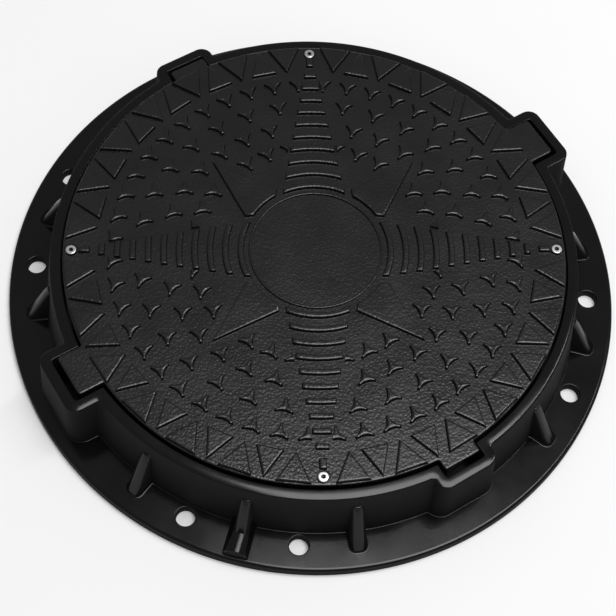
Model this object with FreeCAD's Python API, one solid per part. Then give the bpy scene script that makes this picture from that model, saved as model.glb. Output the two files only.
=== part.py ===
import FreeCAD, Part
import math
import os

# Round plastic well cover. A flanged frame is set in the ground over the shaft, and a lid with four lugs
# drops into it, rests on its inner ledge and is held down by four screws.
# Millimetres, +Z up. The origin is in the middle of the flange's underside.
# Angles are in degrees, counter-clockwise from +X.

# Lid
LID_RADIUS = 318.0
LID_DEPTH = 45.0
LID_PLATE = 10.0
LID_SKIRT = 9.0
LID_EDGE_ROUND = 1.5
LID_RIB_WIDTH = 7.0
LID_RIB_COUNT = 24
LID_HUB_RADIUS = 60.0
LID_RING_PITCH = 66.0
LID_RISE = 5.0

# Lugs on the lid: two long ones opposite each other and two short ones between them
FIRST_LUG_ANGLE = 30.0
LUG_COUNT = 4
LONG_LUG_LENGTH = 32.0
LONG_LUG_WIDTH = 57.0
SHORT_LUG_LENGTH = 14.0
SHORT_LUG_WIDTH = 49.0
LUG_CORNER = 3.0
LUG_ROOT = 2.5

# Frame
FRAME_HEIGHT = 92.0
RIM_WIDTH = 13.5
RIM_ROUND = 1.5
POCKET_ROUND = 1.0
WALL_SPREAD = 11.5
BUMP_SPREAD = 6.0
BUMP_CORNER = 15.0
BUMP_ROOT = 4.0
FOOT_ROUND = 3.0
FLANGE_WIDTH = 49.0
FLANGE_THICKNESS = 13.0
FLANGE_ROUND = 3.0
LEDGE_WIDTH = 26.0
LEDGE_THICKNESS = 12.0
LOWER_WALL = 16.0
HOLLOW_CORNER = 5.0
LID_GAP = 3.0
LUG_END_GAP = 7.5

# Gussets outside the wall, webs under the ledge and holes for ground anchors between the gussets
GUSSET_START = 22.0
GUSSET_PITCH = 22.5
GUSSETS_BETWEEN_LUGS = 3
GUSSET_DROP = 20.0
GUSSET_REACH = 27.0
GUSSET_TOP_REACH = 3.5
GUSSET_TOP_WIDTH = 12.0
GUSSET_FOOT_WIDTH = 20.0
GUSSET_TOP_CORNER = 4.0
GUSSET_FOOT_CORNER = 7.0
GUSSET_CROWN_ROUND = 2.0
WEB_WIDTH = 9.0
WEB_HEIGHT = 30.0
WEB_SETBACK = 2.0
ANCHOR_HOLE = 24.0
ANCHOR_HOLE_OFFSET = 16.5

# Half-round boss that lies on the flange at the foot of one gusset
BOSS_LUG = 2
BOSS_GUSSET = 1
FOOT_BOSS_WIDTH = 32.0
FOOT_BOSS_HEIGHT = 15.5
FOOT_BOSS_MARGIN = 6.0

# Screws and the threaded inserts that they hold in
SCREW_COUNT = 4
SCREW_INSET = 10.5
SCREW_DIAMETER = 8.0
SCREW_CLEARANCE = 0.5
THREAD_CLEARANCE = 0.05
THREAD_ENGAGEMENT = 17.0
HEAD_DIAMETER = 14.0
HEAD_HEIGHT = 4.4
HEAD_ROUND = 1.6
HEAD_RECESS_GAP = 1.6
HEAD_RECESS_DEPTH = 2.6
SOCKET_ACROSS = 5.0
SOCKET_DEPTH = 2.6
LID_BOSS_WALL = 5.5
INSERT_WALL = 1.6
INSERT_LENGTH = 18.0
INSERT_BOSS_WALL = 5.4
INSERT_BOSS_FLOOR = 4.0

# Raised pattern on the lid
RELIEF_HEIGHT = 4.5
RELIEF_DRAFT = 1.3
RELIEF_SINK = 0.5
CENTRE_RING_RADIUS = 85.0
CENTRE_RING_WIDTH = 3.2
CENTRE_RING_HEIGHT = 2.4
RIB_START = 10.0
RIB_PITCH = 19.4
RIB_WIDTH = 8.6
RIB_ROOT_LENGTH = 80.0
RIB_TIP_LENGTH = 17.0
BAR_LENGTH = 15.0
BAR_WIDTH = 10.0
BAR_GAP = 12.0
ARM_MARGIN = 2.0
STAR_TIP_REACH = 101.0
STAR_CORNER_REACH = 16.0
STAR_CORNER_ANGLE = 17.0
STAR_GAP = 7.0
BORDER_PAIRS = 28
BORDER_MARGIN = 0.8
BORDER_DEPTH = 41.2
UP_TRIANGLE_WIDTH = 36.0
DOWN_TRIANGLE_WIDTH = 44.0
STUD_TIP = 13.0
STUD_WAIST = 4.5
STUD_MARGIN = 20.0
STUD_RING_PITCH = 33.5
# Angles of the studs from each diagonal, one row for each ring from the outermost inwards
STUD_TURNS = (
    (3.75, 11.25, 18.75, 26.25, 33.75, 41.25),
    (0.0, 11.25, 22.5, 33.75),
    (5.625, 16.875, 28.125),
    (11.25, 22.5, 33.75),
)

# Heights and radii that follow from the sizes above
GROUND_Z = FRAME_HEIGHT + LID_RISE
SEAT_Z = GROUND_Z - LID_DEPTH
LEDGE_BOTTOM_Z = SEAT_Z - LEDGE_THICKNESS
POCKET_RADIUS = LID_RADIUS + LID_GAP
OPENING_RADIUS = POCKET_RADIUS - LEDGE_WIDTH
RIM_RADIUS = POCKET_RADIUS + RIM_WIDTH
FOOT_RADIUS = RIM_RADIUS + WALL_SPREAD
FLANGE_RADIUS = FOOT_RADIUS + FLANGE_WIDTH
HOLLOW_RADIUS = FOOT_RADIUS - LOWER_WALL
SCREW_RADIUS = LID_RADIUS - SCREW_INSET
SCREW_HOLE = SCREW_DIAMETER + 2.0 * SCREW_CLEARANCE
HEAD_SEAT_Z = GROUND_Z - HEAD_RECESS_DEPTH
HEAD_RECESS = HEAD_DIAMETER + 2.0 * HEAD_RECESS_GAP
INSERT_DIAMETER = SCREW_DIAMETER + 2.0 * INSERT_WALL
BORDER_OUTER = LID_RADIUS - BORDER_MARGIN
BORDER_INNER = BORDER_OUTER - BORDER_DEPTH
LUG_PITCH = 360.0 / LUG_COUNT
ARM_PITCH = 360.0 / SCREW_COUNT
UP = FreeCAD.Vector(0, 0, 1)
ORIGIN = FreeCAD.Vector(0, 0, 0)
TOUCH = 0.02


def point(along, across, angle, z):
    """A point given along and across a radial line at the angle."""
    a = math.radians(angle)
    x = along * math.cos(a) - across * math.sin(a)
    y = along * math.sin(a) + across * math.cos(a)
    return FreeCAD.Vector(x, y, z)


def polar(radius, degrees, z):
    return point(radius, 0.0, degrees, z)


def cylinder(radius, bottom, top, centre=ORIGIN):
    return Part.makeCylinder(radius, top - bottom, FreeCAD.Vector(centre.x, centre.y, bottom), UP)


def polygon(points):
    return Part.makePolygon(points + points[:1])


def lug_angles():
    return [FIRST_LUG_ANGLE + i * LUG_PITCH for i in range(LUG_COUNT)]


def lug_sizes(end, side):
    """Angle, reach and half width of each lug, let out by end at its tip and by side at its flanks."""
    sizes = []
    for i, angle in enumerate(lug_angles()):
        length = SHORT_LUG_LENGTH if i % 2 else LONG_LUG_LENGTH
        width = SHORT_LUG_WIDTH if i % 2 else LONG_LUG_WIDTH
        sizes.append((angle, LID_RADIUS + length + end, width / 2.0 + side))
    return sizes


def lug_edges(ring, lug, corner, root, z):
    """The outline of one lug, from the ring out round its end and back, with both ring points."""
    angle, reach, half = lug
    root_along = math.sqrt((ring + root) ** 2 - (half + root) ** 2)
    share = ring / (ring + root)
    diagonal = corner * math.sqrt(0.5)
    inward = FreeCAD.Vector(-root_along, -(half + root), 0).normalize()
    bisector = (inward + FreeCAD.Vector(0, -1, 0)).normalize()
    root_mid = FreeCAD.Vector(root_along, half + root, 0) + bisector * root

    def at(along, across):
        return point(along, across, angle, z)

    edges = []
    ends = []
    for side in (-1.0, 1.0):
        on_ring = at(root_along * share, side * (half + root) * share)
        on_side = at(root_along, side * half)
        side_end = at(reach - corner, side * half)
        tip = at(reach, side * (half - corner))
        turn = at(reach - corner + diagonal, side * (half - corner + diagonal))
        edges.append(Part.Arc(on_ring, at(root_mid.x, side * root_mid.y), on_side).toShape())
        edges.append(Part.LineSegment(on_side, side_end).toShape())
        edges.append(Part.Arc(side_end, turn, tip).toShape())
        ends.append(on_ring)
    edges.append(Part.LineSegment(at(reach, corner - half), at(reach, half - corner)).toShape())
    return edges, ends


def lugged_solid(ring, lugs, corner, root, bottom, top):
    """A disc with a square lug at each lug angle, rounded where the lugs leave it and at their corners."""
    edges = []
    ends = []
    for lug in lugs:
        more, pair = lug_edges(ring, lug, corner, root, bottom)
        edges += more
        ends.append(pair)
    for i, pair in enumerate(ends):
        start = pair[1]
        finish = ends[(i + 1) % len(ends)][0]
        first = math.degrees(math.atan2(start.y, start.x))
        last = math.degrees(math.atan2(finish.y, finish.x))
        middle = first + ((last - first) % 360.0) / 2.0
        edges.append(Part.Arc(start, polar(ring, middle, bottom), finish).toShape())
    outline = Part.Wire(Part.__sortEdges__(edges))
    return Part.Face(outline).extrude(UP * (top - bottom))


def level_edges(shape, z, inner, outer):
    """Edges that lie wholly at one height, with both ends between two radii."""
    found = []
    for edge in shape.Edges:
        ends = [edge.valueAt(edge.FirstParameter), edge.valueAt(edge.LastParameter)]
        level = edge.BoundBox.ZLength < TOUCH and abs(edge.BoundBox.ZMin - z) < TOUCH
        if level and all(inner < math.hypot(p.x, p.y) < outer for p in ends):
            found.append(edge)
    return found


def hole_edges(shape, z):
    """The edges of the holes in the flat faces at one height."""
    found = []
    for face in shape.Faces:
        if face.BoundBox.ZLength < TOUCH and abs(face.BoundBox.ZMin - z) < TOUCH:
            for wire in face.Wires:
                if not wire.isSame(face.OuterWire):
                    found += wire.Edges
    return found


def rounded_end(near, far, half, corner, angle, z):
    """A bar seen from above, square at its near end and with rounded corners at its far end."""
    diagonal = corner * math.sqrt(0.5)

    def at(along, across):
        return point(along, across, angle, z)

    right = Part.Arc(
        at(far - corner, -half),
        at(far - corner + diagonal, -half + corner - diagonal),
        at(far, corner - half),
    )
    left = Part.Arc(
        at(far, half - corner),
        at(far - corner + diagonal, half - corner + diagonal),
        at(far - corner, half),
    )
    edges = [
        Part.LineSegment(at(near, half), at(near, -half)).toShape(),
        Part.LineSegment(at(near, -half), at(far - corner, -half)).toShape(),
        right.toShape(),
        Part.LineSegment(at(far, corner - half), at(far, half - corner)).toShape(),
        left.toShape(),
        Part.LineSegment(at(far - corner, half), at(near, half)).toShape(),
    ]
    return Part.Wire(edges)


def loft(wires):
    return Part.makeLoft(wires, True, True)


def gusset_angles():
    angles = []
    for lug in lug_angles():
        for k in range(GUSSETS_BETWEEN_LUGS):
            angles.append(lug + GUSSET_START + k * GUSSET_PITCH)
    return angles


def anchor_hole_angles():
    """The holes lie midway between neighbouring gussets."""
    angles = []
    for lug in lug_angles():
        for k in range(GUSSETS_BETWEEN_LUGS - 1):
            angles.append(lug + GUSSET_START + (k + 0.5) * GUSSET_PITCH)
    return angles


def screw_angles():
    return [i * ARM_PITCH for i in range(SCREW_COUNT)]


# Frame


def wall_radius(z):
    """The outside of the wall between the bumps."""
    return RIM_RADIUS + WALL_SPREAD * (FRAME_HEIGHT - z) / (FRAME_HEIGHT - FLANGE_THICKNESS)


def ring_body():
    """The turned outer shape: flange with a rounded edge and a wall that narrows up to the rim."""
    turn = FLANGE_ROUND * (1.0 - math.sqrt(0.5))
    edge_low = FreeCAD.Vector(FLANGE_RADIUS, 0, FLANGE_THICKNESS - FLANGE_ROUND)
    edge_mid = FreeCAD.Vector(FLANGE_RADIUS - turn, 0, FLANGE_THICKNESS - turn)
    edge_high = FreeCAD.Vector(FLANGE_RADIUS - FLANGE_ROUND, 0, FLANGE_THICKNESS)
    corners = [
        edge_high,
        FreeCAD.Vector(FOOT_RADIUS, 0, FLANGE_THICKNESS),
        FreeCAD.Vector(RIM_RADIUS, 0, FRAME_HEIGHT),
        FreeCAD.Vector(0, 0, FRAME_HEIGHT),
        FreeCAD.Vector(0, 0, 0),
        FreeCAD.Vector(FLANGE_RADIUS, 0, 0),
        edge_low,
    ]
    edges = [Part.LineSegment(a, b).toShape() for a, b in zip(corners, corners[1:])]
    edges.append(Part.Arc(edge_low, edge_mid, edge_high).toShape())
    return Part.Face(Part.Wire(edges)).revolve(ORIGIN, UP, 360)


def wall_bump(lug):
    """The wall stands out round each lug pocket."""
    angle, reach, half = lug
    top = rounded_end(OPENING_RADIUS, reach, half, BUMP_CORNER, angle, FRAME_HEIGHT)
    foot_half = half + BUMP_SPREAD
    foot_corner = BUMP_CORNER + BUMP_SPREAD
    foot = rounded_end(OPENING_RADIUS, reach + BUMP_SPREAD, foot_half, foot_corner, angle, FLANGE_THICKNESS)
    return loft([foot, top])


def bump_roots(shape):
    """The inner corners where the bumps leave the round wall."""
    found = []
    for edge in shape.Edges:
        span = edge.LastParameter - edge.FirstParameter
        places = [edge.valueAt(edge.FirstParameter + share * span) for share in (0.0, 0.5, 1.0)]
        on_wall = all(abs(math.hypot(p.x, p.y) - wall_radius(p.z)) < TOUCH for p in places)
        angle = math.degrees(math.atan2(places[1].y, places[1].x)) - FIRST_LUG_ANGLE
        from_lug = abs((angle + LUG_PITCH / 2.0) % LUG_PITCH - LUG_PITCH / 2.0)
        if on_wall and edge.BoundBox.ZLength > TOUCH and from_lug < GUSSET_START:
            found.append(edge)
    return found


def gusset(angle):
    """A buttress that slopes from high on the wall down to the flange."""
    top_z = FRAME_HEIGHT - GUSSET_DROP
    top_far = wall_radius(top_z) + GUSSET_TOP_REACH
    foot_far = FOOT_RADIUS + GUSSET_REACH
    top_half = GUSSET_TOP_WIDTH / 2.0
    foot_half = GUSSET_FOOT_WIDTH / 2.0
    top = rounded_end(POCKET_RADIUS, top_far, top_half, GUSSET_TOP_CORNER, angle, top_z)
    foot = rounded_end(POCKET_RADIUS, foot_far, foot_half, GUSSET_FOOT_CORNER, angle, FLANGE_THICKNESS)
    body = loft([foot, top])
    crown = level_edges(body, top_z, POCKET_RADIUS + GUSSET_TOP_REACH, FLANGE_RADIUS)
    return body.makeFillet(GUSSET_CROWN_ROUND, crown)


def foot_boss(angle):
    """A half-round boss that runs out of the wall and lies along the flange."""
    half = FOOT_BOSS_WIDTH / 2.0
    near = FOOT_RADIUS - LOWER_WALL / 2.0
    far = FLANGE_RADIUS - FOOT_BOSS_MARGIN
    sunk = FLANGE_THICKNESS / 2.0
    left = point(near, half, angle, FLANGE_THICKNESS)
    crown = polar(near, angle, FLANGE_THICKNESS + FOOT_BOSS_HEIGHT)
    right = point(near, -half, angle, FLANGE_THICKNESS)
    sunk_right = point(near, -half, angle, sunk)
    sunk_left = point(near, half, angle, sunk)
    edges = [
        Part.Arc(left, crown, right).toShape(),
        Part.LineSegment(right, sunk_right).toShape(),
        Part.LineSegment(sunk_right, sunk_left).toShape(),
        Part.LineSegment(sunk_left, left).toShape(),
    ]
    return Part.Face(Part.Wire(edges)).extrude(polar(far - near, angle, 0.0))


def ledge_web(angle):
    """A web that carries the ledge on the wall, below it."""
    near = OPENING_RADIUS + WEB_SETBACK
    far = HOLLOW_RADIUS + LOWER_WALL / 2.0
    low = LEDGE_BOTTOM_Z - WEB_HEIGHT
    corners = [
        point(near, -WEB_WIDTH / 2.0, angle, LEDGE_BOTTOM_Z),
        point(far, -WEB_WIDTH / 2.0, angle, LEDGE_BOTTOM_Z),
        point(far, -WEB_WIDTH / 2.0, angle, low),
    ]
    return Part.Face(polygon(corners)).extrude(point(0.0, WEB_WIDTH, angle, 0.0))


def insert_boss(angle):
    """A boss under the ledge that holds one threaded insert."""
    radius = INSERT_DIAMETER / 2.0 + INSERT_BOSS_WALL
    bottom = SEAT_Z - INSERT_LENGTH - INSERT_BOSS_FLOOR
    return cylinder(radius, bottom, SEAT_Z, polar(SCREW_RADIUS, angle, 0.0))


def frame():
    outer_lugs = lug_sizes(LUG_END_GAP + RIM_WIDTH, LID_GAP + RIM_WIDTH)
    body = ring_body().multiFuse([wall_bump(lug) for lug in outer_lugs]).removeSplitter()
    body = body.makeFillet(BUMP_ROOT, bump_roots(body))
    flat_edge = FLANGE_RADIUS - FLANGE_ROUND
    body = body.makeFillet(FOOT_ROUND, level_edges(body, FLANGE_THICKNESS, RIM_RADIUS, flat_edge - TOUCH))
    body = body.makeFillet(RIM_ROUND, level_edges(body, FRAME_HEIGHT, POCKET_RADIUS, FLANGE_RADIUS))

    boss_angle = lug_angles()[BOSS_LUG] + GUSSET_START + BOSS_GUSSET * GUSSET_PITCH
    body = body.multiFuse([gusset(angle) for angle in gusset_angles()] + [foot_boss(boss_angle)])

    pocket_lugs = lug_sizes(LUG_END_GAP, LID_GAP)
    pocket = lugged_solid(POCKET_RADIUS, pocket_lugs, LUG_CORNER, LUG_ROOT, SEAT_Z, GROUND_Z)
    lower_end = LUG_END_GAP + RIM_WIDTH + BUMP_SPREAD - LOWER_WALL
    lower_side = LID_GAP + RIM_WIDTH + BUMP_SPREAD - LOWER_WALL
    lower_lugs = lug_sizes(lower_end, lower_side)
    hollow = lugged_solid(HOLLOW_RADIUS, lower_lugs, HOLLOW_CORNER, HOLLOW_CORNER, 0.0, LEDGE_BOTTOM_Z)
    bosses = [insert_boss(angle) for angle in screw_angles()]
    hollow = hollow.cut([ledge_web(angle) for angle in gusset_angles()] + bosses)
    opening = cylinder(OPENING_RADIUS, 0.0, GROUND_Z)
    anchor_radius = FOOT_RADIUS + ANCHOR_HOLE_OFFSET
    holes = []
    for angle in anchor_hole_angles():
        holes.append(cylinder(ANCHOR_HOLE / 2.0, 0.0, FRAME_HEIGHT, polar(anchor_radius, angle, 0.0)))
    for angle in screw_angles():
        centre = polar(SCREW_RADIUS, angle, 0.0)
        holes.append(cylinder(INSERT_DIAMETER / 2.0, SEAT_Z - INSERT_LENGTH, SEAT_Z, centre))
        holes.append(cylinder(SCREW_HOLE / 2.0, 0.0, SEAT_Z, centre))
    body = body.cut([pocket, opening, hollow] + holes)
    return body.makeFillet(POCKET_ROUND, hole_edges(body, FRAME_HEIGHT))


# Lid


def lid_blank():
    """The lid's outline at full depth, with its top edge rounded."""
    blank = lugged_solid(LID_RADIUS, lug_sizes(0.0, 0.0), LUG_CORNER, LUG_ROOT, SEAT_Z, GROUND_Z)
    return blank.makeFillet(LID_EDGE_ROUND, level_edges(blank, GROUND_Z, 0.0, FLANGE_RADIUS))


def lid_cavity():
    """The space under the plate and inside the skirt, less the ribs, the hub and the screw bosses."""
    plate_z = GROUND_Z - LID_PLATE
    inner = LID_RADIUS - LID_SKIRT
    cavity = lugged_solid(inner, lug_sizes(-LID_SKIRT, -LID_SKIRT), LUG_CORNER, LUG_ROOT, SEAT_Z, plate_z)
    left = []
    for i in range(LID_RIB_COUNT):
        angle = (i + 0.5) * 360.0 / LID_RIB_COUNT
        rib = Part.makeBox(LID_RADIUS, LID_RIB_WIDTH, plate_z - SEAT_Z)
        rib.rotate(ORIGIN, UP, angle)
        rib.translate(point(0.0, -LID_RIB_WIDTH / 2.0, angle, SEAT_Z))
        left.append(rib)
    left.append(cylinder(LID_HUB_RADIUS, SEAT_Z, plate_z))
    ring = LID_HUB_RADIUS + LID_RING_PITCH
    while ring < inner:
        inside = cylinder(ring - LID_RIB_WIDTH, SEAT_Z, plate_z)
        left.append(cylinder(ring, SEAT_Z, plate_z).cut(inside))
        ring += LID_RING_PITCH
    for angle in screw_angles():
        boss = SCREW_HOLE / 2.0 + LID_BOSS_WALL
        left.append(cylinder(boss, SEAT_Z, plate_z, polar(SCREW_RADIUS, angle, 0.0)))
    return cavity.cut(left)


def inset(points, distance):
    """A closed outline, counter-clockwise, with every side moved inwards by the same distance."""
    moved = []
    for i, corner in enumerate(points):
        into = (corner - points[i - 1]).normalize()
        out = (points[(i + 1) % len(points)] - corner).normalize()
        inward = FreeCAD.Vector(-into.y - out.y, into.x + out.x, 0)
        share = 1.0 + into.dot(out)
        moved.append(corner + inward * (distance / share))
    return moved


def raised(points):
    """A flat-topped raised shape with sloping sides, standing on the lid's face."""
    base = [FreeCAD.Vector(p.x, p.y, GROUND_Z - RELIEF_SINK) for p in points]
    top = [FreeCAD.Vector(p.x, p.y, GROUND_Z + RELIEF_HEIGHT) for p in inset(points, RELIEF_DRAFT)]
    return loft([polygon(base), polygon(top)])


def rib_wire(inner, outer, half, angle, z):
    """A short rib bent round the lid's middle, with ends that run along the arm."""

    def arc(radius):
        foot = math.sqrt(radius ** 2 - half ** 2)
        ends = [point(foot, side * half, angle, z) for side in (-1.0, 1.0)]
        return ends, Part.Arc(ends[0], polar(radius, angle, z), ends[1]).toShape()

    near_ends, near = arc(inner)
    far_ends, far = arc(outer)
    sides = [Part.LineSegment(near_ends[i], far_ends[i]).toShape() for i in (0, 1)]
    return Part.Wire(Part.__sortEdges__([near, sides[1], far, sides[0]]))


def arm_rib(radius, half, angle):
    inner = radius - RIB_WIDTH / 2.0
    outer = radius + RIB_WIDTH / 2.0
    low = rib_wire(inner, outer, half, angle, GROUND_Z - RELIEF_SINK)
    top_half = half - RELIEF_DRAFT
    high = rib_wire(inner + RELIEF_DRAFT, outer - RELIEF_DRAFT, top_half, angle, GROUND_Z + RELIEF_HEIGHT)
    return loft([low, high])


def arm_ribs():
    """Radius and half length of each rib on an arm, from the middle outwards."""
    first = CENTRE_RING_RADIUS + RIB_START
    last = SCREW_RADIUS - HEAD_RECESS / 2.0 - BAR_LENGTH - BAR_GAP
    count = int((last - first) / RIB_PITCH) + 1
    taper = (RIB_ROOT_LENGTH - RIB_TIP_LENGTH) / 2.0 / (count - 1)
    return [(first + k * RIB_PITCH, RIB_ROOT_LENGTH / 2.0 - k * taper) for k in range(count)]


def arm(angle):
    """One arm of the cross: its ribs and the bar that points at the screw."""
    pieces = [arm_rib(radius, half, angle) for radius, half in arm_ribs()]
    far = SCREW_RADIUS - HEAD_RECESS / 2.0
    near = far - BAR_LENGTH
    half = BAR_WIDTH / 2.0
    corners = [(near, -half), (far, -half), (far, half), (near, half)]
    pieces.append(raised([point(along, across, angle, 0.0) for along, across in corners]))
    return pieces


def arm_zone(angle):
    """The plain strip that the arm keeps clear of studs."""
    ribs = arm_ribs()
    first, first_half = ribs[0]
    last, last_half = ribs[-1]
    low = GROUND_Z - LID_PLATE
    stations = [(0.0, first_half), (first, first_half), (last, last_half), (LID_RADIUS, last_half)]
    right = [point(along, -half - ARM_MARGIN, angle, low) for along, half in stations]
    left = [point(along, half + ARM_MARGIN, angle, low) for along, half in reversed(stations)]
    return Part.Face(polygon(right + left)).extrude(UP * (LID_PLATE + 2.0 * RELIEF_HEIGHT))


def star_point(angle):
    """One of the four flat points between the arms, hollowed round the centre ring."""
    tip = CENTRE_RING_RADIUS + STAR_TIP_REACH
    corner = CENTRE_RING_RADIUS + STAR_CORNER_REACH
    outline = [
        polar(CENTRE_RING_RADIUS, angle, 0.0),
        polar(corner, angle - STAR_CORNER_ANGLE, 0.0),
        polar(tip, angle, 0.0),
        polar(corner, angle + STAR_CORNER_ANGLE, 0.0),
    ]
    bare = cylinder(CENTRE_RING_RADIUS + STAR_GAP, SEAT_Z, GROUND_Z + 2.0 * RELIEF_HEIGHT)
    return raised(outline).cut(bare)


def stud(radius, angle):
    """A three-pointed stud with one point towards the middle of the lid."""
    corners = []
    for k in range(3):
        for reach, turn in ((STUD_TIP, 0.0), (STUD_WAIST, 60.0)):
            spoke = math.radians(180.0 + 120.0 * k + turn)
            corners.append(point(radius + reach * math.cos(spoke), reach * math.sin(spoke), angle, 0.0))
    return raised(corners)


def studs():
    """Rings of studs in each quarter, cut back where they reach into an arm."""
    zones = [arm_zone(angle) for angle in screw_angles()]
    pieces = []
    for row, turns in enumerate(STUD_TURNS):
        radius = BORDER_INNER - STUD_MARGIN - row * STUD_RING_PITCH
        for i, right_arm in enumerate(screw_angles()):
            diagonal = right_arm + ARM_PITCH / 2.0
            left_zone = zones[(i + 1) % SCREW_COUNT]
            pieces += [stud(radius, diagonal - turn).cut(zones[i]) for turn in turns]
            pieces += [stud(radius, diagonal + turn).cut(left_zone) for turn in turns if turn]
    return pieces


def border():
    """Triangles round the edge that point outwards and inwards in turn, left out where the screws are."""
    pitch = 360.0 / BORDER_PAIRS
    pieces = []
    up_half = UP_TRIANGLE_WIDTH / 2.0
    down_half = DOWN_TRIANGLE_WIDTH / 2.0
    down_base = math.sqrt(BORDER_OUTER ** 2 - down_half ** 2)
    for k in range(BORDER_PAIRS):
        angle = k * pitch
        if min(abs(angle - screw) for screw in screw_angles()) > pitch / 2.0:
            up = [(BORDER_INNER, up_half), (BORDER_INNER, -up_half), (BORDER_OUTER, 0.0)]
            pieces.append(raised([point(along, across, angle, 0.0) for along, across in up]))
        down = [(BORDER_INNER, 0.0), (down_base, -down_half), (down_base, down_half)]
        pieces.append(raised([point(along, across, angle + pitch / 2.0, 0.0) for along, across in down]))
    return pieces


def centre_ring():
    low = GROUND_Z - RELIEF_SINK
    high = GROUND_Z + CENTRE_RING_HEIGHT
    inside = cylinder(CENTRE_RING_RADIUS - CENTRE_RING_WIDTH, low, high)
    return cylinder(CENTRE_RING_RADIUS, low, high).cut(inside)


def cover():
    body = lid_blank().cut(lid_cavity())
    relief = [centre_ring()] + studs() + border()
    for angle in screw_angles():
        relief += arm(angle)
        relief.append(star_point(angle + ARM_PITCH / 2.0))
    body = body.multiFuse(relief)
    holes = []
    for angle in screw_angles():
        centre = polar(SCREW_RADIUS, angle, 0.0)
        holes.append(cylinder(SCREW_HOLE / 2.0, SEAT_Z, GROUND_Z, centre))
        holes.append(cylinder(HEAD_RECESS / 2.0, HEAD_SEAT_Z, GROUND_Z + RELIEF_HEIGHT, centre))
    return body.cut(holes)


# Screws and inserts


def hexagon(across, z):
    corner = across / math.sqrt(3.0)
    return polygon([polar(corner, 60.0 * k, z) for k in range(6)])


def screw(angle):
    """A button-head screw with a hexagon socket."""
    top = HEAD_SEAT_Z + HEAD_HEIGHT
    head = cylinder(HEAD_DIAMETER / 2.0, HEAD_SEAT_Z, top)
    head = head.makeFillet(HEAD_ROUND, level_edges(head, top, 0.0, HEAD_DIAMETER))
    socket = Part.Face(hexagon(SOCKET_ACROSS, top - SOCKET_DEPTH)).extrude(UP * SOCKET_DEPTH)
    shank = cylinder(SCREW_DIAMETER / 2.0, SEAT_Z - THREAD_ENGAGEMENT, HEAD_SEAT_Z)
    body = head.cut(socket).fuse(shank)
    body.translate(polar(SCREW_RADIUS, angle, 0.0))
    return body


def insert(angle):
    """A threaded sleeve set in the frame's boss, flush with the ledge."""
    centre = polar(SCREW_RADIUS, angle, 0.0)
    low = SEAT_Z - INSERT_LENGTH
    sleeve = cylinder(INSERT_DIAMETER / 2.0, low, SEAT_Z, centre)
    return sleeve.cut(cylinder(SCREW_DIAMETER / 2.0 + THREAD_CLEARANCE, low, SEAT_Z, centre))


os.makedirs("parts", exist_ok=True)
frame().exportStep("parts/frame.step")
cover().exportStep("parts/cover.step")
Part.makeCompound([screw(angle) for angle in screw_angles()]).exportStep("parts/cover_screws.step")
Part.makeCompound([insert(angle) for angle in screw_angles()]).exportStep("parts/threaded_inserts.step")
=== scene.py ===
# %% [markdown]
# # A black plastic well cover, dressed over its CAD part
# The real object is a round lid that lies in a flanged ground frame. Both are heavy black plastic mouldings,
# and four steel screws hold the lid down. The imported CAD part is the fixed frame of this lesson: it gives the
# place and the size of every piece, and each piece made here takes the place of one CAD node and keeps its
# form.

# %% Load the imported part
import math

import bmesh
import bpy
import numpy as np
from mathutils import Matrix


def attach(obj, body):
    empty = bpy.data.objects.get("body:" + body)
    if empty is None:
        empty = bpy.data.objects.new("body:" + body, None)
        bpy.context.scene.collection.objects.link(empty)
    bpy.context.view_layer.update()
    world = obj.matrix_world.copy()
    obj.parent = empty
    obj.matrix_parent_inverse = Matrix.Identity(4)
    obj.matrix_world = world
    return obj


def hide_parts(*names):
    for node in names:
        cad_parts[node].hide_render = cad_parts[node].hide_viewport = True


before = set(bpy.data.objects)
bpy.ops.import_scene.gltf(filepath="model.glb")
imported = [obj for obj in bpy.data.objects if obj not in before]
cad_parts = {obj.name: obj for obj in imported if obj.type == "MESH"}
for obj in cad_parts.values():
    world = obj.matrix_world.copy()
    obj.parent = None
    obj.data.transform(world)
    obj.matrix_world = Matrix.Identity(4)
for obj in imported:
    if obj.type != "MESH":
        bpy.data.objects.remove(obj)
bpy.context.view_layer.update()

# %% [markdown]
# ## The camera
# The photograph looks down on the cover from the front. A camera can be placed by eye, but here its angles,
# place and lens were worked out from the four screws and the two large circles, which are round on the real
# object and oval in the picture. Azimuth and elevation say where it stands, and the roll is how far it was
# held askew.

# %% Camera
CAMERA_AZIMUTH = math.radians(-6.106)
CAMERA_ELEVATION = math.radians(61.845)
CAMERA_ROLL = math.radians(5.202)
CAMERA_PLACE = (-0.1057, -0.9580, 1.7402)
CAMERA_LENS = 87.94

camera_data = bpy.data.cameras.new("camera")
camera_data.lens = CAMERA_LENS
camera = bpy.data.objects.new("camera", camera_data)
bpy.context.collection.objects.link(camera)
tilt = math.pi / 2.0 - CAMERA_ELEVATION
turn = Matrix.Rotation(CAMERA_AZIMUTH, 4, "Z") @ Matrix.Rotation(tilt, 4, "X")
turn = turn @ Matrix.Rotation(CAMERA_ROLL, 4, "Z")
camera.matrix_world = Matrix.Translation(CAMERA_PLACE) @ turn
bpy.context.scene.camera = camera
print("camera at", tuple(camera.location), "with a lens of", CAMERA_LENS, "mm")

# %% [markdown]
# ## Outlines
# The lid, its pocket, the rim and the wall's foot are all the same figure: a circle with two long and two
# short lugs, rounded where a lug leaves the circle and at its corners. A Boolean of a disc and boxes would
# give it, but then each outline has other points. Here one function draws them all with the same number of
# points in the same order, so that any two outlines can be joined by a clean strip of four-sided faces. Sizes
# are millimetres until a mesh is made.

# %% Points along lines and arcs
MM = 0.001
MIDDLE = (0.0, 0.0)


def arc(centre, radius, start, end, count):
    """Points on an arc, with its angles in degrees."""
    angles = np.radians(np.linspace(start, end, count))
    return np.asarray(centre) + radius * np.column_stack([np.cos(angles), np.sin(angles)])


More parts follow.
